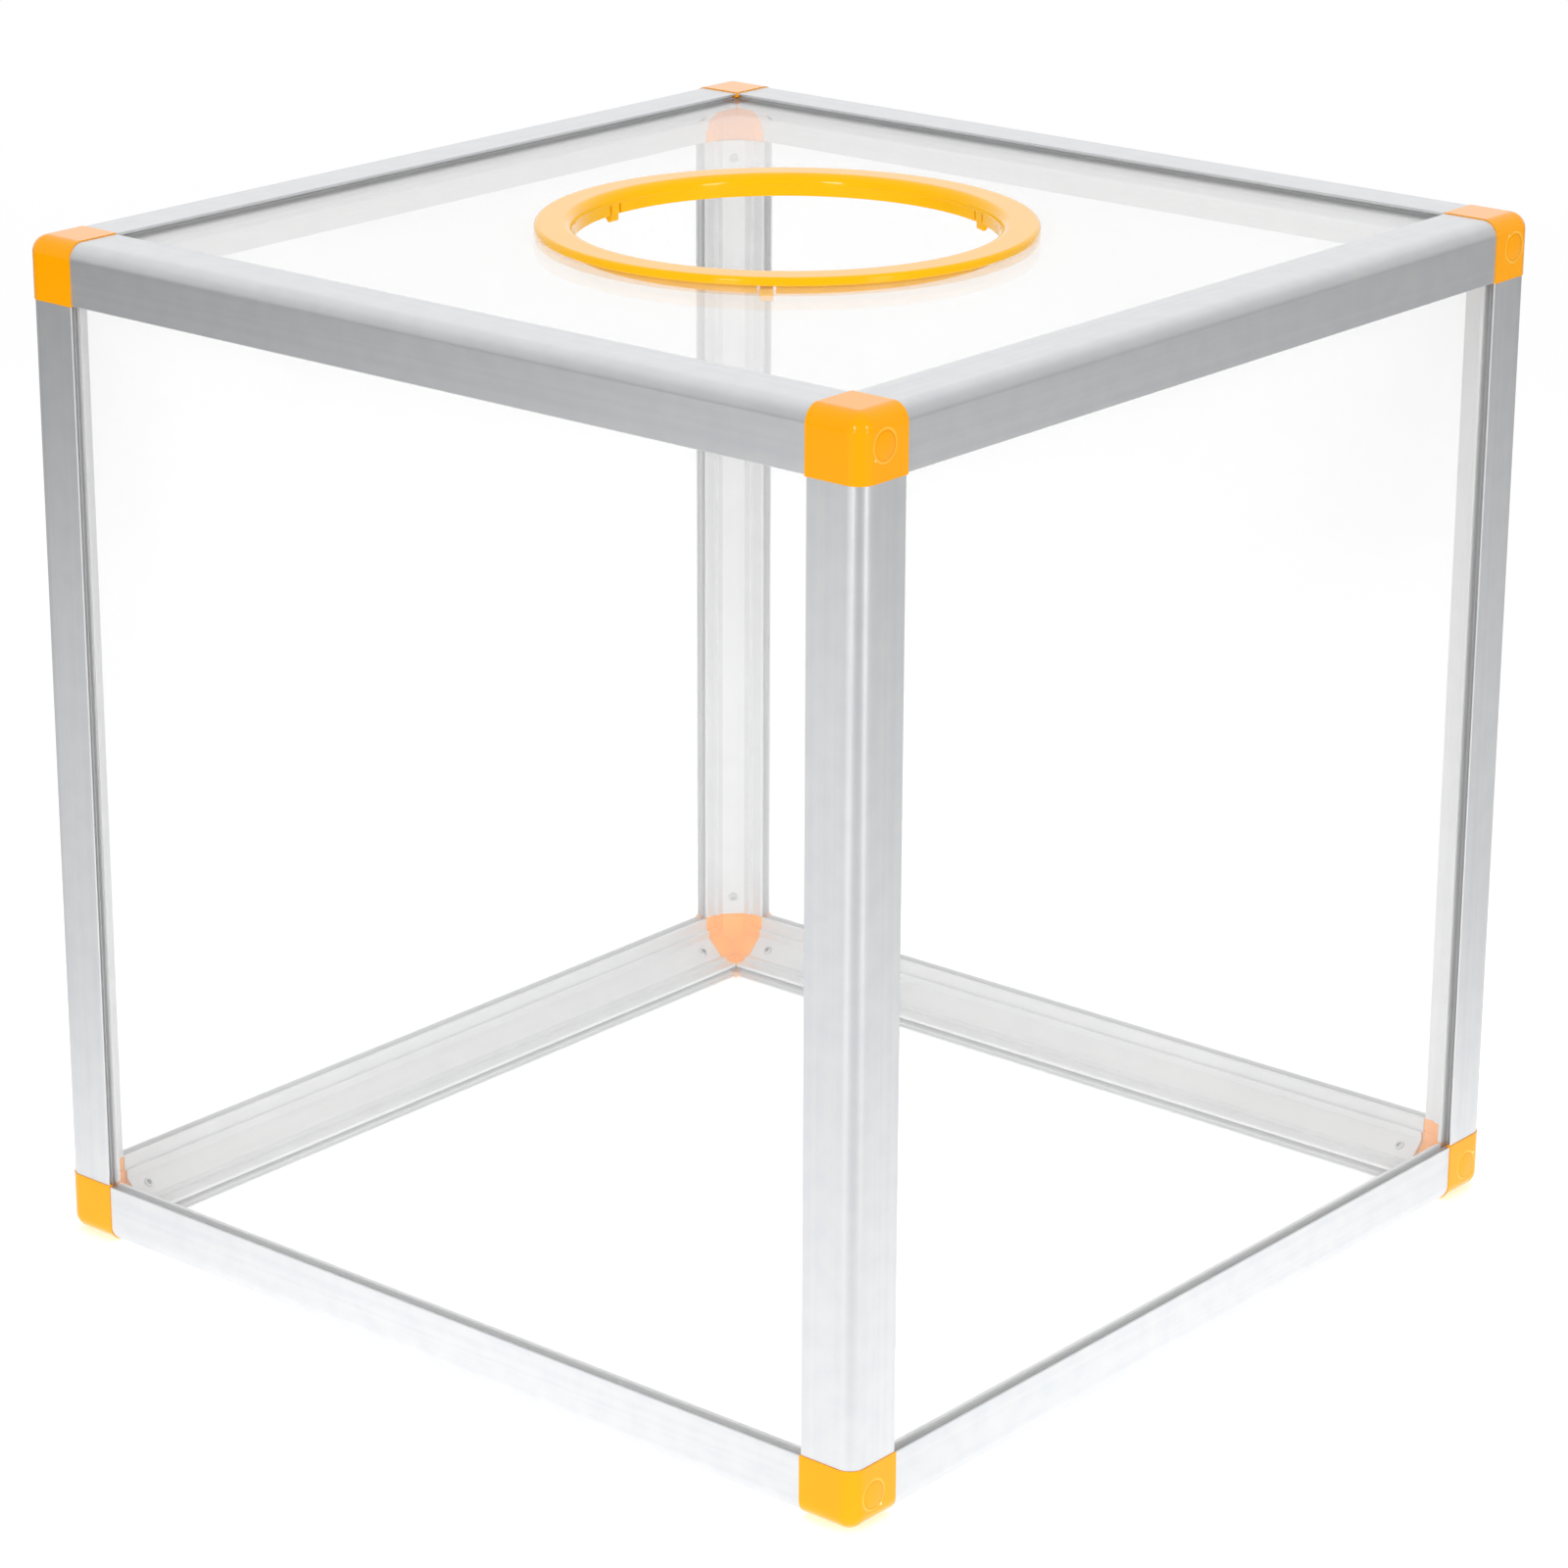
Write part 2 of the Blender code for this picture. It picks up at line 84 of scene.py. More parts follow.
# Set screws
SCREW_DIAMETER = 0.003
SCREW_LENGTH = 0.005
SCREW_PROUD = 0.0004
SCREW_CHAMFER = 0.0003
SCREW_PLACE = 0.024
SOCKET_ACROSS = 0.0015
SOCKET_DEPTH = 0.0014
SCREW_EDGE = 0.00006

# Ring
MOUTH_DIAMETER = 0.120
RING_FLANGE = 0.011
RING_HEIGHT = 0.0023
RING_EDGE_RADIUS = 0.0012
RING_FOOT_CHAMFER = 0.0003
THROAT_RADIUS = 0.003
THROAT_STEP = 0.0002
COLLAR_WALL = 0.002
COLLAR_REACH = 0.0018
CLIP_WIDTH = 0.0036
CLIP_SLIT = 0.0008
CLIP_FREE = 0.0029
CLIP_INSET = 0.0005
CLIP_DROP = 0.0039
CLIP_HOOK = 0.0014
CLIP_CATCH = 0.0013
CLIP_TOE = 0.0008
CLIP_NOSE = 0.0003
CLIP_COUNT = 3
CLIP_ANGLE = radians(65)
RING_FINE_EDGE = 0.00012

# Panels
PANEL_EDGE = 0.0002

# Facets of round shapes
EDGE_SEGMENTS = 12
FILLET_SEGMENTS = 3
FINE_SEGMENTS = 2
CAP_SEGMENTS = 3
BORE_SEGMENTS = 32
SOCKET_SIDES = 6
MARK_SEGMENTS = 64
RING_SEGMENTS = 192
FLOOR_SEGMENTS = 192
ROUND_SHARE = 0.5  # bevel profile that makes a true arc
SHARP_ANGLE = radians(40)
BEVEL_ANGLE = radians(50)
FILLET_LIMIT = radians(75)  # a corner stays as it is where half its angle is wider
FILLET_DIVISOR = 2.1  # so that two fillets fit on the side between them
FLAT_WEIGHT = 80  # how much the large flat faces rule the shading

# Noise: cells in a metre, and how fine its detail goes
LINE_CELLS = 2600.0
BAND_CELLS = 420.0
CLOUD_CELLS = 140.0
GRAIN_CELLS = 5200.0
MOTTLE_CELLS = 60.0
MOULD_CELLS = 2400.0
STAIN_CELLS = 1500.0
SPECK_CELLS = 260.0
PLAIN_DETAIL = 2.0
NOISE_DETAIL = 3.0
SPECK_DETAIL = 4.0

# Aluminium: each pair of colours goes from dark to light
SKIN_COLOURS = ((0.722, 0.74, 0.763, 1.0), (0.778, 0.781, 0.788, 1.0))
# the inner faces' pair is darker than the skin's: painted shade of the box's inside
INNER_SHADE_COLOURS = ((0.712, 0.715, 0.72, 1.0), (0.75, 0.752, 0.755, 1.0))
SKIN_SHARE = 0.75  # part of the skin's depth that looks like its outer face
SKIN_METAL = 0.86
INNER_METAL = 0.60
DRAW_STRETCH = (1.0, 1.0, 0.004)  # pulls the noise out along the profile
BAND_SHARE = 0.5
CLOUD_SHARE = 0.5
TONE_RANGE = (0.35, 0.65)
LINE_ROUGHNESS = (0.27, 0.35)
GRAIN_ROUGHNESS = (0.0, 0.06)
INNER_ROUGHNESS = 0.14  # added on the inner faces
LINE_HEIGHT = 0.6  # parts that the lines and the grain have in the relief
GRAIN_HEIGHT = 0.5
DRAW_DEPTH = 0.0000012

# Plastic
CAP_COLOURS = ((0.98, 0.37, 0.0, 1.0), (1.0, 0.40, 0.0, 1.0))
CAP_ROUGHNESS = 0.14
RING_COLOURS = ((0.98, 0.48, 0.0, 1.0), (1.0, 0.52, 0.001, 1.0))
RING_ROUGHNESS = 0.16
MOULD_ROUGHNESS = (-0.03, 0.04)  # added by the mould's texture
MOULD_DEPTH = 0.0000015
PLASTIC_SPECULAR = 0.06
COAT_IOR = 1.25
COAT_ROUGHNESS = 0.075
RIM_HIGHLIGHT_COLOUR = (1.0, 0.56, 0.06, 1.0)  # painted highlight on the rim of the round mark
RIM_HIGHLIGHT_FADES = (0.0009, 0.0004, 0.0003, 0.0)  # inwards from the mark's edge: fades in, then out
GROOVE_SHADE_COLOUR = (0.86, 0.30, 0.0, 1.0)  # painted shade: a darker ring inside that rim
GROOVE_SHADE_FADES = (0.0014, 0.0010, 0.0010, 0.0007)
# painted glint on the round mark's pip
PIP_GLINT_COLOUR = (1.0, 0.74, 0.30, 1.0)
PIP_GLINT_FADE_SHARES = (0.5, 1.1)  # of the pip's radius

# Steel
STEEL_COLOURS = ((0.62, 0.62, 0.63, 1.0), (0.76, 0.76, 0.77, 1.0))
STEEL_ROUGHNESS = (0.22, 0.40)

# Acrylic
CLEAR_COLOUR = (0.999, 1.0, 1.0, 1.0)
MIRROR_COLOUR = (0.93, 0.93, 0.93, 1.0)
MIRROR_ROUGHNESS = 0.03
HEAD_ON_SHARE = 0.006  # what a face mirrors when seen square on
FACING_BLEND = 0.5
GRAZING_POWER = 5.0  # how late the mirroring grows
HAZE_SHARE = 0.12
SPECK_RANGE = (0.62, 0.82)
SPECK_GAIN = 1.35  # haze of a speck, against the haze round it
SLOT_PAINTED_LIGHT_SHARE = 0.62  # painted light: share of a pale film on the strip that lies in a slot
FILM_TONE = 0.93
# grey of the film that paints light on the strips in slots
SLOT_PAINTED_LIGHT_TONE = 0.80

# World: the light that it gives, and its greys as mirrors show them
WHITE = (1.0, 1.0, 1.0, 1.0)
WORLD_LIGHT = 0.6
LOW_GREY = 0.25  # below the horizon
FRONT_GREY = 0.50
BACK_GREY = 1.05
BRIGHT_SIDE = (-0.62, 0.52, 0.59)
BRIGHT_RANGE = (0.0, 0.95)  # cosine of the angle to the bright side
LOFTY_SHARE = 0.85
LOFTY_HEIGHTS = (0.25, 0.55)  # sine of the height over the horizon
HORIZON_HEIGHTS = (-0.15, 0.05)

# Floor, as it is seen and as it lights the box
FLOOR_RADIUS = 2.4
FLOOR_DROP = 0.0002
FLOOR_TONE = 0.93
FLOOR_FADE = (0.5, 1.6)  # distances over which it turns white
FLOOR_LIFT = 0.20
TABLE_FADE = (0.12, 0.45)  # distances over which the extra light under the box fades
TABLE_LIFT = 0.25  # extra light as it is seen
TABLE_BOUNCE = 0.80  # extra light as the box gets it

# Floor, as it is seen in mirrors: centre, inner and outer radius, and the light added
MIRROR_PATCHES = (
    ((0.25, -0.15, 0.0), 0.3, 1.68, 0.62),
    ((0.0, 0.0, 0.0), 0.15, 0.42, 0.40),
    ((-0.15, -0.80, 0.0), 0.1, 0.65, 0.20),
    ((-0.37, -0.78, 0.0), 0.05, 0.35, 0.24),
    ((-1.30, -1.05, 0.0), 0.2, 0.80, -0.28),
    ((-1.60, 1.80, 0.0), 1.2, 1.90, 0.65),
)

# Pool of light before the near corner, in mirrors: cosines of the angle to the front side
FRONT_SIDE = (0.656, -0.755, 0.0)
POOL_RISE = (0.30, 0.656)
POOL_FALL = (0.656, 0.93)
POOL_LIFT = 0.32
POOL_DIP = -0.12
POOL_REACH = 0.5

# Lamps: place, width, height, power, and whether mirrors show it
LAMPS = {
    "overhead": ((-0.2, 0.3, 1.9), 1.4, 1.4, 8.3, False),
    "back": ((-1.4, 1.7, 1.7), 1.0, 0.8, 2.0, False),
    "front_left": ((0.46, -1.83, 1.00), 0.38, 0.6, 10.2, True),
    "front_right": ((1.90, -0.27, 0.95), 0.38, 0.6, 8.0, True),
    "low_left": ((0.46, -1.83, 0.22), 0.32, 0.4, 2.2, True),
    "low_right": ((1.90, -0.27, 0.22), 0.32, 0.4, 2.2, True),
}

# Camera, from the photograph
CAMERA_PLACE = (0.8714, -1.0356, 0.6037)
CAMERA_TURN = (radians(71.204), radians(-0.111), radians(40.513))
CAMERA_LENS = 113.03
CAMERA_SENSOR = 36.0
CAMERA_SHIFT = (0.02, -0.02)

# Sizes that follow from those above
SLOT_FILL = GAP - SEAM
SLOT_FAR = SKIN + PANEL_THICKNESS + 2 * GAP
CHAMBER_FLANGE = SLOT_FAR + WALL
CHAMBER_SIDE = CHAMBER_FLANGE + CHAMBER_NECK
SLOT_FLOOR = CHAMBER_SIDE + WALL
PROFILE_LOW, PROFILE_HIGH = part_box("post_front_left")
PROFILE_WIDTH = PROFILE_HIGH.x - PROFILE_LOW.x
LIP_FACE = SLOT_FAR + LIP_THICKNESS
LIP_ROOT = PROFILE_WIDTH - LIP_LENGTH
FLANGE_FACE = SLOT_FAR + FLANGE_THICKNESS
SLANT_START = LIP_ROOT - FLANGE_FLAT
SLANT_SUM = SLANT_START + FLANGE_FACE
PROFILE_RADIUS = CAP_RADIUS - CAP_PROUD
CHAMBER_SUM = SLANT_SUM - WALL * sqrt(2)
LEG_SUM = CHAMBER_SUM - GAP * sqrt(2)
CAP_EDGE = PROFILE_WIDTH + 2 * CAP_PROUD
WEB_SUM = LEG_SUM + 2 * CAP_PROUD + WEB_STEP * sqrt(2)
SLANT_DISTANCE = SLANT_SUM / sqrt(2)
MARK_RADIUS = MARK_DIAMETER / 2
MOUTH_RADIUS = MOUTH_DIAMETER / 2
COLLAR_RADIUS = MOUTH_RADIUS + COLLAR_WALL
PANEL_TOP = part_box("panel_top")[1].z

AXES = (Vector((1, 0, 0)), Vector((0, 1, 0)), Vector((0, 0, 1)))
SIDE_NAMES = ({-1: "left", 1: "right"}, {-1: "front", 1: "back"}, {-1: "bottom", 1: "top"})
LOW = Vector(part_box("connector_bottom_front_left")[0])
HIGH = Vector(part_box("connector_top_back_right")[1])
SIZES = HIGH - LOW
CENTRE = (HIGH + LOW) / 2
HELD_FROM = max(SIZES) / 2 - CAP_PROUD - PROFILE_WIDTH  # from a panel's centre to the profiles
NEAR_CORNER = (SIZES.x / 2, -SIZES.y / 2, 0.0)  # the box's near corner, from the floor's centre

# Sockets of a Mix node that mixes colours, and operations that give a number
MIX_FIRST = 6
MIX_SECOND = 7
MIX_RESULT = 2
NUMBER_OPERATIONS = ("LENGTH", "DISTANCE", "DOT_PRODUCT")


def new_object(name, data):
    """Add an object to the scene."""
    obj = bpy.data.objects.new(name, data)
    bpy.context.scene.collection.objects.link(obj)
    return obj


def evaluated_mesh(obj):
    """Return the mesh that an object shows, welded, and remove the object."""
    bpy.context.view_layer.update()
    graph = bpy.context.evaluated_depsgraph_get()
    mesh = bpy.data.meshes.new_from_object(obj.evaluated_get(graph))
    bm = bmesh.new()
    bm.from_mesh(mesh)
    bmesh.ops.remove_doubles(bm, verts=bm.verts, dist=WELD)
    bm.to_mesh(mesh)
    bm.free()
    bpy.data.objects.remove(obj, do_unlink=True)
    return mesh


def combine(mesh, steps):
    """Cut from or join to a mesh each tool in a list of (operation, mesh, matrix) steps."""
    obj = new_object("blank", mesh)
    tools = []
    for operation, other, matrix in steps:
        shape = new_object("tool", other)
        shape.matrix_world = matrix
        tools.append(shape)
        modifier = obj.modifiers.new(operation.lower(), "BOOLEAN")
        modifier.operation = operation
        modifier.solver = "EXACT"
        modifier.object = shape
    result = evaluated_mesh(obj)
    for shape in tools:
        bpy.data.objects.remove(shape, do_unlink=True)
    return result


def eased(mesh, width, segments):
    """Round a mesh's sharp edges by a small width, and shade it smooth with flat faces kept flat."""
    obj = new_object("eased", mesh)
    bevel = obj.modifiers.new("ease", "BEVEL")
    bevel.width = width
    bevel.segments = segments
    bevel.limit_method = "ANGLE"
    bevel.angle_limit = BEVEL_ANGLE
    bevel.use_clamp_overlap = True
    bevel.miter_outer = "MITER_ARC"
    result = evaluated_mesh(obj)
    result.shade_smooth()
    result.set_sharp_from_angle(angle=SHARP_ANGLE)
    return result


def box_mesh(low, high):
    """Make a box from its lowest to its highest corner."""
    low = Vector(low)
    high = Vector(high)
    bm = bmesh.new()
    bmesh.ops.create_cube(bm, size=1.0)
    bmesh.ops.scale(bm, vec=high - low, verts=bm.verts)
    bmesh.ops.translate(bm, vec=(low + high) / 2, verts=bm.verts)
    mesh = bpy.data.meshes.new("box")
    bm.to_mesh(mesh)
    bm.free()
    return mesh


def rod_mesh(diameter, low, high, segments):
    """Make a cylinder round Z between two heights."""
    bm = bmesh.new()
    bmesh.ops.create_cone(
        bm, cap_ends=True, segments=segments, radius1=diameter / 2, radius2=diameter / 2, depth=high - low
    )
    bmesh.ops.translate(bm, vec=(0, 0, (low + high) / 2), verts=bm.verts)
    mesh = bpy.data.meshes.new("rod")
    bm.to_mesh(mesh)
    bm.free()
    return mesh


def outline_mesh(loops, low, high):
    """Extrude closed outlines between two heights: the first is the outside, the others are holes."""
    curve = bpy.data.curves.new("outline", "CURVE")
    curve.dimensions = "2D"
    curve.fill_mode = "BOTH"
    curve.extrude = (high - low) / 2
    for loop in loops:
        spline = curve.splines.new("POLY")
        spline.points.add(len(loop) - 1)
        for point, (x, y) in zip(spline.points, loop):
            point.co = (x, y, 0, 1)
        spline.use_cyclic_u = True
    mesh = evaluated_mesh(new_object("outline", curve))
    mesh.transform(Matrix.Translation((0, 0, (low + high) / 2)))
    return mesh


def turned_mesh(profile, segments, closed):
    """Turn a profile of (radius, height) points round Z with a Screw modifier."""
    edges = [(index, index + 1) for index in range(len(profile) - 1)]
    if closed:
        edges.append((len(profile) - 1, 0))
    mesh = bpy.data.meshes.new("turned")
    mesh.from_pydata([(radius, 0, height) for radius, height in profile], edges, [])
    obj = new_object("turned", mesh)
    screw = obj.modifiers.new("turn", "SCREW")
    screw.axis = "Z"
    screw.angle = 2 * pi
    screw.steps = segments
    screw.render_steps = segments
    screw.use_merge_vertices = True
    screw.merge_threshold = WELD
    return evaluated_mesh(obj)


def arc(centre, radius, start, end, segments):
    """Points on an arc from one angle to another, both ends included."""
    angles = [start + (end - start) * index / segments for index in range(segments + 1)]
    return [(centre[0] + radius * cos(angle), centre[1] + radius * sin(angle)) for angle in angles]


def filleted(points, radius):
    """Round each corner of a closed outline by a radius, or less where its sides are short."""
    result = []
    count = len(points)
    for index in range(count):
        corner = Vector(points[index])
        back = Vector(points[index - 1]) - corner
        ahead = Vector(points[(index + 1) % count]) - corner
        half = back.angle(ahead) / 2
        if half > FILLET_LIMIT:
            result.append(tuple(corner))
            continue
        reach = min(radius / tan(half), back.length / FILLET_DIVISOR, ahead.length / FILLET_DIVISOR)
        bend = reach * tan(half)
        middle = corner + (back.normalized() + ahead.normalized()).normalized() * (bend / sin(half))
        first = corner + back.normalized() * reach - middle
        last = corner + ahead.normalized() * reach - middle
        sweep = first.angle_signed(last)
        for step in range(FILLET_SEGMENTS + 1):
            turned = Matrix.Rotation(-sweep * step / FILLET_SEGMENTS, 2) @ first
            result.append(tuple(middle + turned))
    return result


def mirrored(points):
    """Points followed by their mirror images over the diagonal."""
    return points + [(y, x) for x, y in reversed(points)]


def turn(axis):
    """Rotation that takes Z to an axis and keeps the order of the three axes."""
    columns = (AXES[(axis + 1) % 3], AXES[(axis + 2) % 3], AXES[axis])
    return Matrix(columns).transposed().to_4x4()


def bore_matrix(place, offset):
    """Places Z on a screw's line: along the diagonal of the section, at a distance along it."""
    inward = Vector((1, 1, 0)).normalized()
    matrix = Matrix((AXES[2].cross(inward), AXES[2], inward)).transposed().to_4x4()
    matrix.translation = Vector((offset, offset, place))
    return matrix


def bore_mesh():
    """Cutter for a screw's hole."""
    inner = SLANT_DISTANCE + SCREW_PROUD - SCREW_LENGTH - GAP
    return rod_mesh(SCREW_DIAMETER + 2 * SEAM, inner, SLANT_DISTANCE + OVERRUN, BORE_SEGMENTS)


def profile_mesh(length, reach):
    """One length of profile along Z, with its outer edge on Z and a screw hole near each end."""
    corner = (PROFILE_RADIUS, PROFILE_RADIUS)
    side = [
        (PROFILE_WIDTH, 0),
        (PROFILE_WIDTH, SKIN_LAND),
        (PROFILE_WIDTH - REBATE_DEPTH, SKIN_LAND),
        (PROFILE_WIDTH - REBATE_DEPTH, SKIN + SLOT_FILL),
        (SLOT_FLOOR, SKIN + SLOT_FILL),
        (SLOT_FLOOR, SLOT_FAR - SLOT_FILL),
        (PROFILE_WIDTH, SLOT_FAR - SLOT_FILL),
        (PROFILE_WIDTH, LIP_FACE),
        (LIP_ROOT, LIP_FACE),
        (LIP_ROOT, FLANGE_FACE),
        (SLANT_START, FLANGE_FACE),
    ]
    outside = mirrored(side) + arc(corner, PROFILE_RADIUS, pi, 1.5 * pi, EDGE_SEGMENTS)
    chamber_side = [
        (CHAMBER_SIDE, SKIN),
        (CHAMBER_SIDE, CHAMBER_FLANGE),
        (CHAMBER_SUM - CHAMBER_FLANGE, CHAMBER_FLANGE),
    ]
    chamber = mirrored(chamber_side) + arc(corner, PROFILE_RADIUS - SKIN, pi, 1.5 * pi, EDGE_SEGMENTS)
    bar = outline_mesh([filleted(outside, PROFILE_EDGE), chamber], -length / 2, length / 2)
    steps = [("DIFFERENCE", bore_mesh(), bore_matrix(place, 0)) for place in (-reach, reach)]
    return eased(combine(bar, steps), CUT_EDGE, FINE_SEGMENTS)


def leg_outline():
    """Section of a connector's leg: the profile's chamber less the clearance."""
    side = CAP_PROUD + CHAMBER_SIDE - GAP
    near = CAP_PROUD + SKIN + GAP
    flange = CAP_PROUD + CHAMBER_FLANGE + GAP
    slant = LEG_SUM + 2 * CAP_PROUD - flange
    points = [(side, near), (side, flange), (slant, flange)]
    corner = (CAP_RADIUS, CAP_RADIUS)
    return mirrored(points) + arc(corner, CAP_RADIUS - near, pi, 1.5 * pi, EDGE_SEGMENTS)


def hollow_mesh():
    """Cutter for the open inner side of a connector: a cube less three crossing webs."""
    level = CAP_PROUD + CHAMBER_FLANGE
    reach = CAP_PROUD + LIP_ROOT
    lip = CAP_PROUD + LIP_FACE - WEB_STEP
    start = CAP_PROUD + SKIN
    end = CAP_EDGE + OVERRUN
    far = end + OVERRUN
    side = [(far, -OVERRUN), (far, lip), (reach, lip), (reach, level), (WEB_SUM - level, level)]
    web = mirrored(side) + [(-OVERRUN, -OVERRUN)]
    mesh = outline_mesh([web], -OVERRUN, far)
    steps = [("DIFFERENCE", mesh.copy(), turn(axis)) for axis in range(3)]
    return combine(box_mesh((start, start, start), (end, end, end)), steps)


def block_mesh():
    """Solid corner block with its three outer edges rounded."""
    mesh = box_mesh((0, 0, 0), (CAP_EDGE, CAP_EDGE, CAP_EDGE))
    bm = bmesh.new()
    bm.from_mesh(mesh)
    origin = [vert for vert in bm.verts if vert.co.length < WELD][0]
    bmesh.ops.bevel(
        bm,
        geom=list(origin.link_edges),
        offset=CAP_RADIUS,
        offset_type="OFFSET",
        segments=EDGE_SEGMENTS,
        profile=ROUND_SHARE,
        affect="EDGES",
    )
    bm.to_mesh(mesh)
    bm.free()
    return mesh


def mark_mesh():
    """Cutter for the round mark: a very shallow disc inside a fine groove, with a pip on it."""
    profile = [
        (0, MARK_SINK),
        (MARK_RADIUS - 2 * MARK_SLOPE - MARK_FLOOR, MARK_SINK),
        (MARK_RADIUS - MARK_SLOPE - MARK_FLOOR, MARK_DEPTH),
        (MARK_RADIUS - MARK_SLOPE, MARK_DEPTH),
        (MARK_RADIUS, 0),
        (MARK_RADIUS, -OVERRUN),
        (0, -OVERRUN),
    ]
    pip = arc((0, MARK_DEPTH / 2 - PIP_RADIUS), PIP_RADIUS, pi / 2, -pi / 2, EDGE_SEGMENTS)
    ball = turned_mesh(pip, BORE_SEGMENTS, closed=False)
    place = Matrix.Translation((MARK_RADIUS * cos(PIP_ANGLE), MARK_RADIUS * sin(PIP_ANGLE), 0))
    return combine(turned_mesh(profile, MARK_SEGMENTS, closed=False), [("UNION", ball, place)])


def connector_mesh():
    """Corner connector with its outer corner at the origin and its legs along +X, +Y and +Z."""
    floor = CAP_PROUD + SLOT_FLOOR
    end = CAP_EDGE + OVERRUN
    slot_low = (floor, floor, CAP_PROUD + SKIN)
    slot_high = (end, end, CAP_PROUD + SLOT_FAR)
    leg = outline_mesh([leg_outline()], CAP_EDGE - LEG_ROOT, CAP_EDGE + LEG_LENGTH)
    mark = mark_mesh()
    mark.transform(Matrix.Translation((CAP_EDGE / 2, CAP_EDGE / 2, 0)))
    bore_place = bore_matrix(SCREW_PLACE, CAP_PROUD)
    steps = [("DIFFERENCE", hollow_mesh(), Matrix.Identity(4))]
    steps += [("DIFFERENCE", box_mesh(slot_low, slot_high), turn(axis)) for axis in range(3)]
    steps += [("UNION", leg.copy(), turn(axis)) for axis in range(3)]
    steps += [("DIFFERENCE", bore_mesh(), turn(axis) @ bore_place) for axis in range(3)]
    steps.append(("DIFFERENCE", mark, turn(0)))
    return eased(combine(block_mesh(), steps), CAP_EDGE_RADIUS, CAP_SEGMENTS)


def screw_mesh():
    """Set screw along Z, its socket end up at the height of its outer face."""
    top = SLANT_DISTANCE + SCREW_PROUD
    bottom = top - SCREW_LENGTH
    radius = SCREW_DIAMETER / 2
    profile = [
        (0, top),
        (radius - SCREW_CHAMFER, top),
        (radius, top - SCREW_CHAMFER),
        (radius, bottom + SCREW_CHAMFER),
        (radius - SCREW_CHAMFER, bottom),
        (0, bottom),
    ]
    body = turned_mesh(profile, BORE_SEGMENTS, closed=False)
    across = SOCKET_ACROSS / cos(pi / SOCKET_SIDES)
    socket = rod_mesh(across, top - SOCKET_DEPTH, top + OVERRUN, SOCKET_SIDES)
    return eased(combine(body, [("DIFFERENCE", socket, Matrix.Identity(4))]), SCREW_EDGE, FINE_SEGMENTS)


def hook_mesh():
    """Hook of a snap clip, on +X; the slits then trim its sides."""
    inner = MOUTH_RADIUS + CLIP_INSET
    outer = COLLAR_RADIUS + CLIP_HOOK
    catch = -PANEL_THICKNESS - GAP
    low = -PANEL_THICKNESS - CLIP_DROP
    outline = [
        (inner, catch),
        (inner, low + CLIP_NOSE),
        (inner + CLIP_NOSE, low),
        (inner + CLIP_NOSE + CLIP_TOE, low),
        (outer, catch - CLIP_CATCH),
        (outer, catch),
    ]
    reach = (CLIP_WIDTH + CLIP_SLIT) / 2
    mesh = outline_mesh([outline], -reach, reach)
    mesh.transform(Matrix.Rotation(pi / 2, 4, "X"))
    return mesh


def slit_mesh(side):
    """Cutter for the slit on one side of a snap clip, on +X."""
    edge = side * CLIP_WIDTH / 2
    far = side * (CLIP_WIDTH / 2 + CLIP_SLIT)
    bottom = -PANEL_THICKNESS - CLIP_DROP - OVERRUN
    top = CLIP_FREE - PANEL_THICKNESS - COLLAR_REACH
    outer = COLLAR_RADIUS + CLIP_HOOK + OVERRUN
    return box_mesh((MOUTH_RADIUS - OVERRUN, min(edge, far), bottom), (outer, max(edge, far), top))


def ring_mesh():
    """Ring with its collar and snap clips, at the height of the top panel's upper face."""
    top = GAP + RING_HEIGHT
    low = -PANEL_THICKNESS - COLLAR_REACH
    radius = MOUTH_RADIUS + RING_FLANGE
    throat = (MOUTH_RADIUS + THROAT_RADIUS, top - THROAT_RADIUS)
    rim = (radius - RING_EDGE_RADIUS, top - RING_EDGE_RADIUS)
    wall = MOUTH_RADIUS + THROAT_STEP
    profile = arc(throat, THROAT_RADIUS, pi, pi / 2, EDGE_SEGMENTS)
    profile += arc(rim, RING_EDGE_RADIUS, pi / 2, 0, EDGE_SEGMENTS)
    profile += [
        (radius, GAP + RING_FOOT_CHAMFER),
        (radius - RING_FOOT_CHAMFER, GAP),
        (COLLAR_RADIUS, GAP),
        (COLLAR_RADIUS, low),
        (wall, low),
        (wall, throat[1] - THROAT_STEP),
    ]
    ring = turned_mesh(profile, RING_SEGMENTS, closed=True)
    steps = []
    for number in range(CLIP_COUNT):
        around = Matrix.Rotation(CLIP_ANGLE + 2 * pi * number / CLIP_COUNT, 4, "Z")
        steps.append(("UNION", hook_mesh(), around))
        steps += [("DIFFERENCE", slit_mesh(side), around) for side in (-1, 1)]
    return eased(combine(ring, steps), RING_FINE_EDGE, FINE_SEGMENTS)


def panel_mesh(low, high, hole_radius):
    """A panel between two corners, centred on the origin, with eased edges and perhaps a round hole."""
    half = (high - low) / 2
    if not hole_radius:
        return eased(box_mesh(-half, half), PANEL_EDGE, FINE_SEGMENTS)
    square = [(-half.x, -half.y), (half.x, -half.y), (half.x, half.y), (-half.x, half.y)]
    hole = arc((0, 0), hole_radius, 0, 2 * pi, RING_SEGMENTS)[:-1]
    return eased(outline_mesh([square, hole], -half.z, half.z), PANEL_EDGE, FINE_SEGMENTS)


def add(tree, kind, inputs=None, **settings):
    """Add a shader node, set its settings, and set or link its inputs."""
    node = tree.nodes.new(kind)
    for name, value in settings.items():
        setattr(node, name, value)
    for name, value in (inputs or {}).items():
        if isinstance(value, bpy.types.NodeSocket):
            tree.links.new(value, node.inputs[name])
        else:
            node.inputs[name].default_value = value
    return node


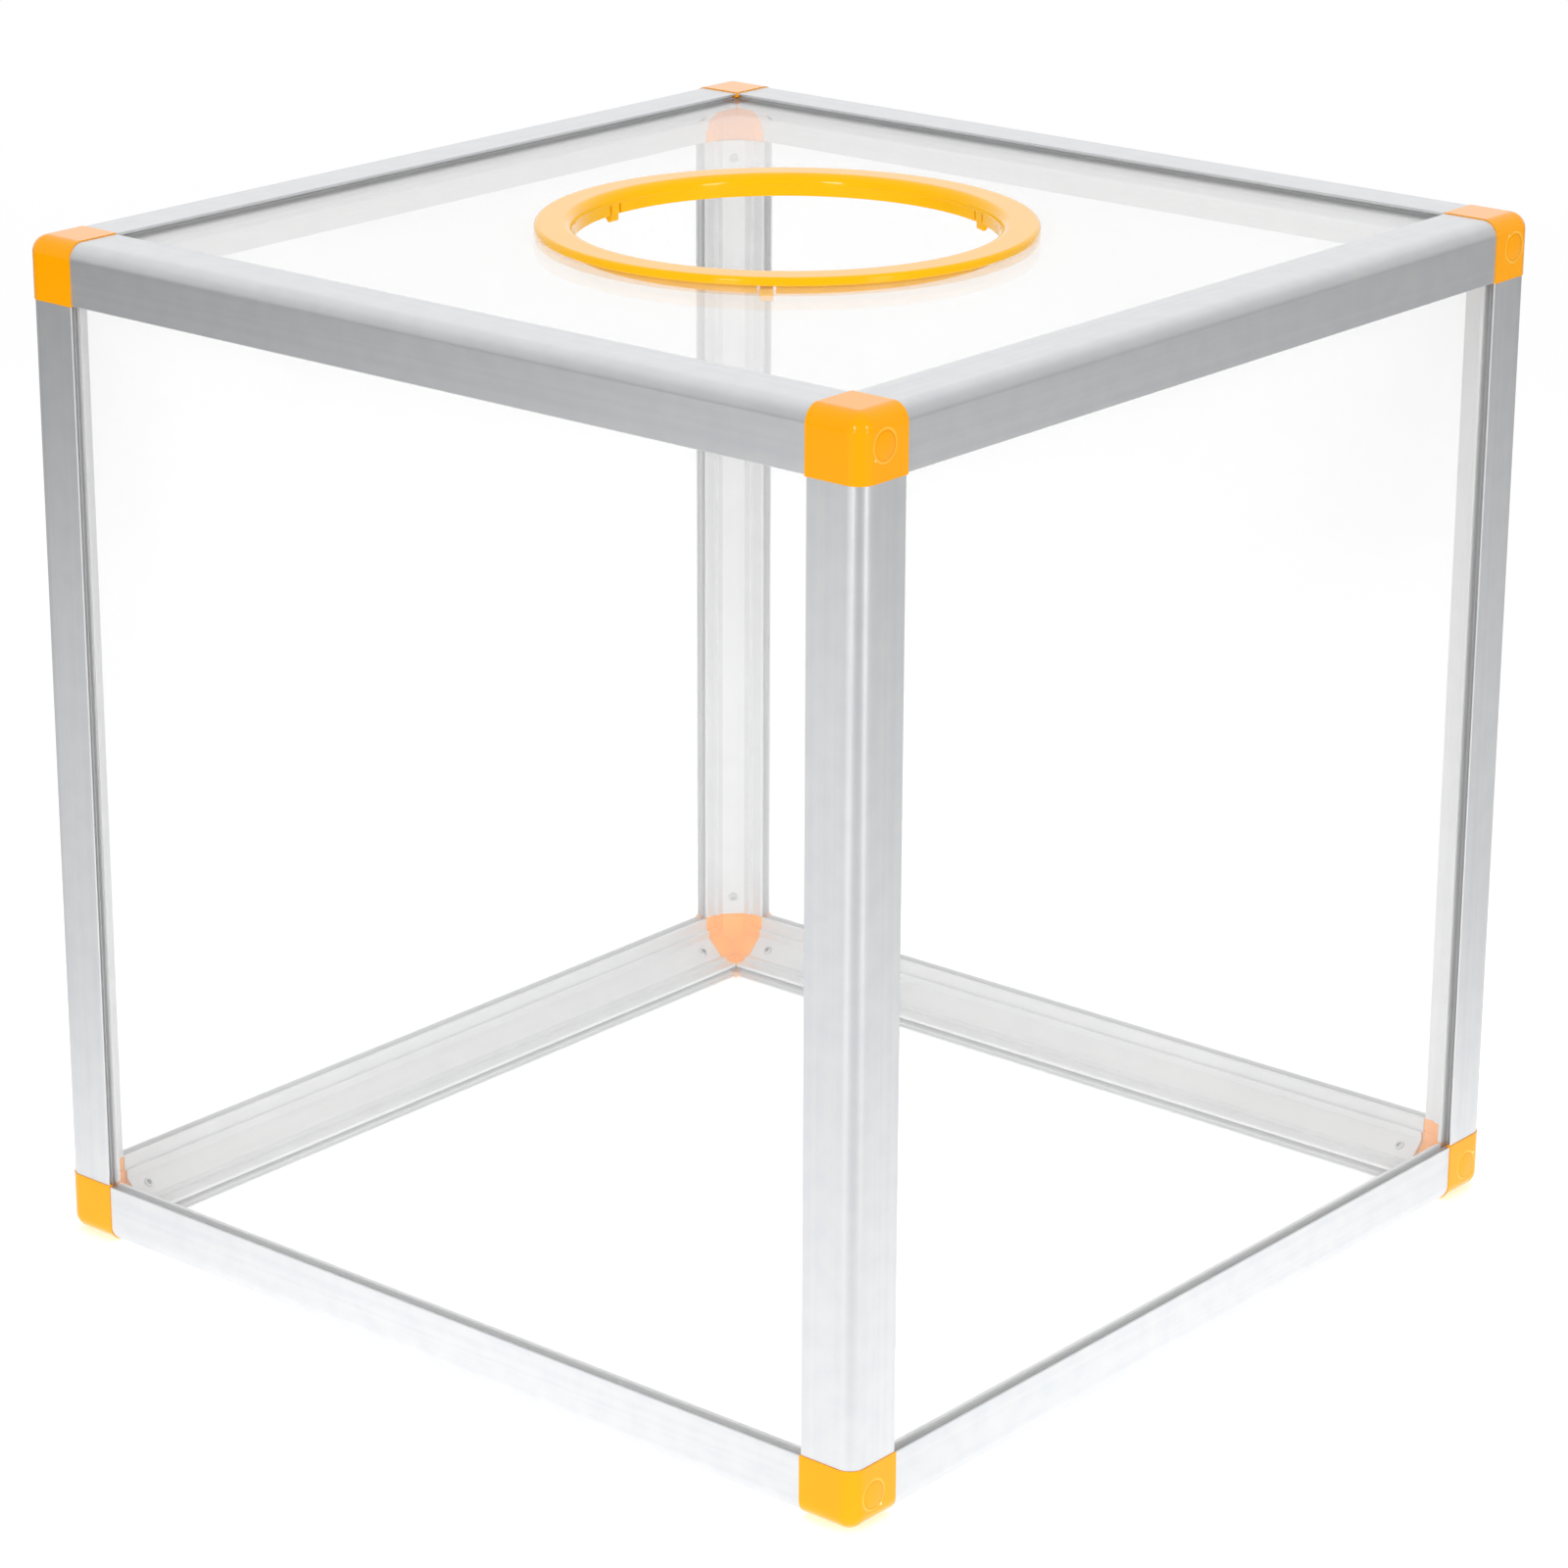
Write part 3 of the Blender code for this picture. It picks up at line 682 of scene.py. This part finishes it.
def blank_material(name):
    """A material with only its output node left, with its tree and the socket of its surface."""
    material = bpy.data.materials.new(name)
    material.use_nodes = True
    tree = material.node_tree
    tree.nodes.clear()
    output = tree.nodes.new("ShaderNodeOutputMaterial")
    return material, tree, output.inputs["Surface"]


def maths(tree, operation, first, second):
    """An operation on two values or sockets."""
    return add(tree, "ShaderNodeMath", {0: first, 1: second}, operation=operation).outputs[0]


def vector_maths(tree, operation, *inputs):
    """An operation on one or two vectors; it gives a number where the operation does."""
    node = add(tree, "ShaderNodeVectorMath", dict(enumerate(inputs)), operation=operation)
    return node.outputs["Value" if operation in NUMBER_OPERATIONS else "Vector"]


def ramp(tree, value, low, high, start=0.0, end=1.0):
    """Map a value in a straight line from start..end to low..high, and no further."""
    places = {"Value": value, "From Min": start, "From Max": end, "To Min": low, "To Max": high}
    return add(tree, "ShaderNodeMapRange", places).outputs["Result"]


def eased_step(tree, value, start, end, low, high):
    """A value that goes smoothly from low to high between two others."""
    places = {"Value": value, "From Min": start, "From Max": end, "To Min": low, "To Max": high}
    return add(tree, "ShaderNodeMapRange", places, interpolation_type="SMOOTHSTEP").outputs["Result"]


def noise(tree, vector, cells, detail=NOISE_DETAIL):
    """Noise of a piece's own coordinates, at a number of cells in a metre."""
    node = add(tree, "ShaderNodeTexNoise", {"Vector": vector, "Scale": cells, "Detail": detail})
    return node.outputs["Fac"]


def tinted(tree, share, first, second):
    """A colour between two others, which may be sockets."""
    colours = {"Factor": share, MIX_FIRST: first, MIX_SECOND: second}
    return add(tree, "ShaderNodeMix", colours, data_type="RGBA").outputs[MIX_RESULT]


def own_place(tree):
    """A piece's own coordinates."""
    return add(tree, "ShaderNodeTexCoord").outputs["Object"]


def glow(tree, strength):
    """White light of a given strength."""
    return add(tree, "ShaderNodeEmission", {"Color": WHITE, "Strength": strength}).outputs[0]


def mixed(tree, share, first, second):
    """A look between two others."""
    return add(tree, "ShaderNodeMixShader", {0: share, 1: first, 2: second}).outputs[0]


def aluminium_material():
    """Satin anodised extrusion: faint draw lines, soft clouds of tone; duller, and darker as painted shade,
    on its inner faces.
    """
    material, tree, surface = blank_material("aluminium_satin")
    place = own_place(tree)
    # Distance outwards from the middle of the outer rounding: its radius on the outer faces, less below
    outwards = vector_maths(tree, "SUBTRACT", (PROFILE_RADIUS, PROFILE_RADIUS, 0.0), place)
    outwards = vector_maths(tree, "MAXIMUM", outwards, (0.0, 0.0, 0.0))
    outwards = vector_maths(tree, "MULTIPLY", outwards, (1.0, 1.0, 0.0))
    distance = vector_maths(tree, "LENGTH", outwards)
    skin_from = PROFILE_RADIUS - SKIN_SHARE * SKIN
    inner = eased_step(tree, distance, PROFILE_RADIUS - SKIN, skin_from, 1.0, 0.0)

    along = add(tree, "ShaderNodeMapping", {"Vector": place, "Scale": DRAW_STRETCH}).outputs["Vector"]
    lines = noise(tree, along, LINE_CELLS)
    bands = noise(tree, along, BAND_CELLS, PLAIN_DETAIL)
    clouds = noise(tree, place, CLOUD_CELLS)
    grain = noise(tree, place, GRAIN_CELLS, PLAIN_DETAIL)

    banding = maths(tree, "MULTIPLY", bands, BAND_SHARE)
    tone = maths(tree, "ADD", banding, maths(tree, "MULTIPLY", clouds, CLOUD_SHARE))
    tone = eased_step(tree, tone, *TONE_RANGE, 0.0, 1.0)
    # painted shade: the inner faces take the darker colour pair
    colour = tinted(tree, inner, tinted(tree, tone, *SKIN_COLOURS), tinted(tree, tone, *INNER_SHADE_COLOURS))
    rough = maths(tree, "ADD", ramp(tree, lines, *LINE_ROUGHNESS), ramp(tree, grain, *GRAIN_ROUGHNESS))
    rough = maths(tree, "ADD", rough, maths(tree, "MULTIPLY", inner, INNER_ROUGHNESS))
    metal = ramp(tree, inner, SKIN_METAL, INNER_METAL)
    relief = maths(tree, "MULTIPLY", lines, LINE_HEIGHT)
    relief = maths(tree, "ADD", relief, maths(tree, "MULTIPLY", grain, GRAIN_HEIGHT))
    bump = add(tree, "ShaderNodeBump", {"Height": relief, "Distance": DRAW_DEPTH, "Strength": 1.0})
    shader = add(
        tree,
        "ShaderNodeBsdfPrincipled",
        {"Base Color": colour, "Metallic": metal, "Roughness": rough, "Normal": bump.outputs[0]},
    )
    tree.links.new(shader.outputs[0], surface)
    return material


def on_ring(tree, distance, fades):
    """1 on one ring of the round mark and 0 beside it, from the distance to the mark's centre."""
    rise_start, rise_end, fall_start, fall_end = [MARK_RADIUS - fade for fade in fades]
    rise = eased_step(tree, distance, rise_start, rise_end, 0.0, 1.0)
    fall = eased_step(tree, distance, fall_start, fall_end, 1.0, 0.0)
    return maths(tree, "MULTIPLY", rise, fall)


def marked_colour(tree, place, colour):
    """A connector's colour with a painted highlight on the round mark's rim, painted shade in the darker
    ring inside it, and a painted glint on its pip.
    """
    middle = CAP_EDGE / 2
    distance = vector_maths(tree, "DISTANCE", place, (0.0, middle, middle))
    colour = tinted(tree, on_ring(tree, distance, RIM_HIGHLIGHT_FADES), colour, RIM_HIGHLIGHT_COLOUR)
    colour = tinted(tree, on_ring(tree, distance, GROOVE_SHADE_FADES), colour, GROOVE_SHADE_COLOUR)
    pip_place = (0.0, middle + MARK_RADIUS * cos(PIP_ANGLE), middle + MARK_RADIUS * sin(PIP_ANGLE))
    pip_start, pip_end = [share * PIP_RADIUS for share in PIP_GLINT_FADE_SHARES]
    pip_glint = eased_step(tree, vector_maths(tree, "DISTANCE", place, pip_place), pip_start, pip_end, 1.0, 0.0)
    return tinted(tree, pip_glint, colour, PIP_GLINT_COLOUR)


def orange_material(name, colours, roughness, marked):
    """Glossy moulded plastic with a faint mottling, a shallow mould texture, and, where marked, painted
    highlights and shade on the round mark.
    """
    material, tree, surface = blank_material(name)
    place = own_place(tree)
    mould = noise(tree, place, MOULD_CELLS)
    colour = tinted(tree, noise(tree, place, MOTTLE_CELLS), *colours)
    # the round mark's rim highlight, groove shade and pip glint are painted into the colour
    if marked:
        colour = marked_colour(tree, place, colour)
    rough = ramp(tree, mould, *[roughness + change for change in MOULD_ROUGHNESS])
    bump = add(tree, "ShaderNodeBump", {"Height": mould, "Distance": MOULD_DEPTH, "Strength": 1.0})
    shader = add(
        tree,
        "ShaderNodeBsdfPrincipled",
        {
            "Base Color": colour,
            "Roughness": rough,
            "Specular IOR Level": PLASTIC_SPECULAR,
            "Coat Weight": 1.0,
            "Coat IOR": COAT_IOR,
            "Coat Roughness": COAT_ROUGHNESS,
            "Normal": bump.outputs[0],
        },
    )
    tree.links.new(shader.outputs[0], surface)
    return material


def steel_material():
    """Plain steel of the set screws, lightly stained."""
    material, tree, surface = blank_material("screw_steel")
    stain = noise(tree, own_place(tree), STAIN_CELLS)
    colour = tinted(tree, stain, *STEEL_COLOURS)
    rough = ramp(tree, stain, *STEEL_ROUGHNESS)
    steel = {"Base Color": colour, "Metallic": 1.0, "Roughness": rough}
    shader = add(tree, "ShaderNodeBsdfPrincipled", steel)
    tree.links.new(shader.outputs[0], surface)
    return material


def acrylic_material():
    """Clear acrylic sheet: what a face mirrors grows towards grazing angles, it is faintly hazy, and a pale
    film paints light on the strips held in slots.
    """
    material, tree, surface = blank_material("clear_acrylic")
    place = own_place(tree)
    specks = noise(tree, place, SPECK_CELLS, SPECK_DETAIL)
    dust = ramp(tree, specks, HAZE_SHARE, SPECK_GAIN * HAZE_SHARE, *SPECK_RANGE)
    parts = add(tree, "ShaderNodeSeparateXYZ", {"Vector": vector_maths(tree, "ABSOLUTE", place)})
    beyond = [maths(tree, "GREATER_THAN", parts.outputs[name], HELD_FROM) for name in "XYZ"]
    sides = maths(tree, "ADD", beyond[0], maths(tree, "ADD", beyond[1], beyond[2]))
    is_held = maths(tree, "COMPARE", sides, 1.0)
    # dust on the sheet, and in a slot a pale film that paints light on the shaded strip
    dust_and_slot_light = maths(tree, "MAXIMUM", dust, maths(tree, "MULTIPLY", is_held, SLOT_PAINTED_LIGHT_SHARE))

    facing = add(tree, "ShaderNodeLayerWeight", {"Blend": FACING_BLEND}).outputs["Facing"]
    share = ramp(tree, maths(tree, "POWER", facing, GRAZING_POWER), HEAD_ON_SHARE, 1.0)
    through = add(tree, "ShaderNodeBsdfTransparent", {"Color": CLEAR_COLOUR}).outputs[0]
    mirror = add(tree, "ShaderNodeBsdfGlossy", {"Color": MIRROR_COLOUR, "Roughness": MIRROR_ROUGHNESS})
    film = add(tree, "ShaderNodeBsdfDiffuse", {"Color": ramp(tree, is_held, FILM_TONE, SLOT_PAINTED_LIGHT_TONE)})
    pane = mixed(tree, share, through, mirror.outputs[0])
    tree.links.new(mixed(tree, dust_and_slot_light, pane, film.outputs[0]), surface)
    return material


def seen_directly(tree, path):
    """1 for what is seen directly or through a clear piece, and 0 for light and mirror images."""
    return maths(tree, "MAXIMUM", path.outputs["Is Camera Ray"], path.outputs["Is Transmission Ray"])


def make_world():
    """White surroundings as they are seen, dimmer as a lamp, and grey below the horizon in mirrors."""
    world = bpy.data.worlds.new("studio")
    bpy.context.scene.world = world
    world.use_nodes = True
    tree = world.node_tree
    tree.nodes.clear()
    path = add(tree, "ShaderNodeLightPath")
    in_mirror = path.outputs["Is Glossy Ray"]
    direction = add(tree, "ShaderNodeTexCoord").outputs["Generated"]
    height = add(tree, "ShaderNodeSeparateXYZ", {"Vector": direction}).outputs["Z"]
    towards = vector_maths(tree, "DOT_PRODUCT", direction, BRIGHT_SIDE)
    sky = eased_step(tree, towards, *BRIGHT_RANGE, FRONT_GREY, BACK_GREY)
    sky = maths(tree, "MULTIPLY", sky, eased_step(tree, height, *LOFTY_HEIGHTS, 1.0, LOFTY_SHARE))
    sweep = eased_step(tree, height, *HORIZON_HEIGHTS, LOW_GREY, sky)
    mirrored_part = maths(tree, "MULTIPLY", in_mirror, sweep)
    lamp_part = maths(tree, "MULTIPLY", maths(tree, "SUBTRACT", 1.0, in_mirror), WORLD_LIGHT)
    unseen = maths(tree, "ADD", mirrored_part, lamp_part)
    strength = maths(tree, "MAXIMUM", seen_directly(tree, path), unseen)
    background = add(tree, "ShaderNodeBackground", {"Color": WHITE, "Strength": strength})
    output = tree.nodes.new("ShaderNodeOutputWorld")
    tree.links.new(background.outputs[0], output.inputs["Surface"])


def floor_seen(tree, place, seen):
    """The floor as it is seen and as it lights the box: pale near it, and white far from it."""
    far = vector_maths(tree, "LENGTH", place)
    table = eased_step(tree, far, *TABLE_FADE, 1.0, 0.0)
    table_light = maths(tree, "MULTIPLY", table, ramp(tree, seen, TABLE_BOUNCE, TABLE_LIFT))
    lift = maths(tree, "ADD", table_light, maths(tree, "MULTIPLY", seen, FLOOR_LIFT))
    paint = add(tree, "ShaderNodeBsdfDiffuse", {"Color": (FLOOR_TONE, FLOOR_TONE, FLOOR_TONE, 1.0)})
    near_look = add(tree, "ShaderNodeAddShader", {0: paint.outputs[0], 1: glow(tree, lift)})
    far_look = glow(tree, maths(tree, "MAXIMUM", seen, WORLD_LIGHT))
    fade = eased_step(tree, far, *FLOOR_FADE, 0.0, 1.0)
    return mixed(tree, fade, near_look.outputs[0], far_look)


def floor_mirrored(tree, place):
    """The floor as mirrors show it: a studio's floor, brighter in some places and darker in others."""
    light = LOW_GREY
    for centre, near, rim, amount in MIRROR_PATCHES:
        distance = vector_maths(tree, "DISTANCE", place, centre)
        light = maths(tree, "ADD", light, ramp(tree, distance, amount, 0.0, near, rim))
    from_corner = vector_maths(tree, "SUBTRACT", place, NEAR_CORNER)
    ahead = vector_maths(tree, "DOT_PRODUCT", vector_maths(tree, "NORMALIZE", from_corner), FRONT_SIDE)
    away = vector_maths(tree, "LENGTH", from_corner)
    rise = eased_step(tree, ahead, *POOL_RISE, 0.0, 1.0)
    pool = maths(tree, "MULTIPLY", rise, eased_step(tree, ahead, *POOL_FALL, POOL_LIFT, POOL_DIP))
    pool = maths(tree, "MULTIPLY", pool, eased_step(tree, away, 0.0, POOL_REACH, 0.0, 1.0))
    return glow(tree, maths(tree, "ADD", light, pool))


def make_floor():
    """Round pale floor under the box."""
    bm = bmesh.new()
    bmesh.ops.create_circle(bm, cap_ends=True, segments=FLOOR_SEGMENTS, radius=FLOOR_RADIUS)
    mesh = bpy.data.meshes.new("floor")
    bm.to_mesh(mesh)
    bm.free()
    floor = new_object("floor", mesh)
    floor.location = (CENTRE.x, CENTRE.y, LOW.z - FLOOR_DROP)
    material, tree, surface = blank_material("floor_white")
    place = own_place(tree)
    path = add(tree, "ShaderNodeLightPath")
    plain = floor_seen(tree, place, seen_directly(tree, path))
    tree.links.new(mixed(tree, path.outputs["Is Glossy Ray"], plain, floor_mirrored(tree, place)), surface)
    mesh.materials.append(material)


def softbox(name, place, width, height, power, in_mirrors):
    """An area lamp of a given size, aimed at the box."""
    lamp = bpy.data.lights.new(name, "AREA")
    lamp.shape = "RECTANGLE"
    lamp.size = width
    lamp.size_y = height
    lamp.energy = power
    obj = new_object(name, lamp)
    obj.location = place
    obj.rotation_euler = (CENTRE - Vector(place)).to_track_quat("-Z", "Y").to_euler()
    obj.visible_camera = False
    obj.visible_glossy = in_mirrors


def make_camera():
    """The photograph's camera."""
    data = bpy.data.cameras.new("camera")
    data.lens = CAMERA_LENS
    data.sensor_width = CAMERA_SENSOR
    data.shift_x, data.shift_y = CAMERA_SHIFT
    camera = new_object("camera", data)
    camera.location = CAMERA_PLACE
    camera.rotation_euler = CAMERA_TURN
    bpy.context.scene.camera = camera


def dress(node, mesh, matrix, material):
    """Put a finished piece in the place of a CAD node."""
    piece = new_object(f"{node}_look", mesh)
    piece.matrix_world = matrix
    if not mesh.materials:
        mesh.materials.append(material)
    weighted = piece.modifiers.new("flat_faces", "WEIGHTED_NORMAL")
    weighted.keep_sharp = True
    weighted.weight = FLAT_WEIGHT
    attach(piece, "root")
    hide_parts(node)
    return piece


def edge_matrix(axis, first_side, second_side):
    """Places a profile on one edge of the frame: its two section axes point into the box."""
    first = (axis + 1) % 3
    second = (axis + 2) % 3
    x_axis = -first_side * AXES[first]
    y_axis = -second_side * AXES[second]
    matrix = Matrix((x_axis, y_axis, x_axis.cross(y_axis))).transposed().to_4x4()
    outer = first_side * AXES[first] * SIZES[first] / 2 + second_side * AXES[second] * SIZES[second] / 2
    matrix.translation = CENTRE + outer
    return matrix @ Matrix.Translation((CAP_PROUD, CAP_PROUD, 0))


def edge_name(axis, first_side, second_side):
    """Name of the profile on one edge."""
    sides = {(axis + 1) % 3: first_side, (axis + 2) % 3: second_side}
    words = [SIDE_NAMES[index][sides[index]] for index in (2, 1, 0) if index in sides]
    return "_".join(["post" if axis == 2 else "rail"] + words)


def dress_frame():
    """Profiles and their set screws."""
    aluminium = aluminium_material()
    steel = steel_material()
    screw = screw_mesh()
    for axis in range(3):
        low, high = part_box(edge_name(axis, -1, -1))
        reach = SIZES[axis] / 2 - SCREW_PLACE
        bar = profile_mesh(high[axis] - low[axis] + 2 * SLOT_FILL, reach)
        for first_side in (-1, 1):
            for second_side in (-1, 1):
                name = edge_name(axis, first_side, second_side)
                matrix = edge_matrix(axis, first_side, second_side)
                dress(name, bar, matrix, aluminium)
                for end in (-1, 1):
                    at_end = matrix @ bore_matrix(end * reach, 0)
                    side = 1 if (at_end.translation - matrix.translation)[axis] > 0 else -1
                    dress(f"screw_{name}_{SIDE_NAMES[axis][side]}", screw, at_end, steel)


def dress_connectors():
    """Eight connectors: one shape turned into each corner, with its marked face to the left or right."""
    orange = orange_material("orange_plastic", CAP_COLOURS, CAP_ROUGHNESS, marked=True)
    mesh = connector_mesh()
    for x_side in (-1, 1):
        for y_side in (-1, 1):
            for z_side in (-1, 1):
                sides = (x_side, y_side, z_side)
                inward = [-side * axis for side, axis in zip(sides, AXES)]
                order = (0, 1, 2) if x_side * y_side * z_side < 0 else (0, 2, 1)
                matrix = Matrix([inward[index] for index in order]).transposed().to_4x4()
                matrix.translation = CENTRE + Vector([side * size / 2 for side, size in zip(sides, SIZES)])
                words = [SIDE_NAMES[index][sides[index]] for index in (2, 1, 0)]
                dress("_".join(["connector"] + words), mesh, matrix, orange)


def dress_panels():
    """Six acrylic panels."""
    acrylic = acrylic_material()
    for axis in range(3):
        for side in (-1, 1):
            node = f"panel_{SIDE_NAMES[axis][side]}"
            low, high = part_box(node)
            hole = COLLAR_RADIUS + GAP if node == "panel_top" else 0
            mesh = panel_mesh(low, high, hole)
            piece = dress(node, mesh, Matrix.Translation((low + high) / 2), acrylic)
            piece.visible_shadow = False


def dress_ring():
    """The ring in the top panel's hole."""
    orange = orange_material("ring_plastic", RING_COLOURS, RING_ROUGHNESS, marked=False)
    dress("mouth_ring", ring_mesh(), Matrix.Translation((0, 0, PANEL_TOP)), orange)


bpy.context.scene.view_settings.view_transform = "Standard"
make_camera()
make_world()
make_floor()
for name, settings in LAMPS.items():
    softbox(name, *settings)
dress_frame()
dress_connectors()
dress_panels()
dress_ring()
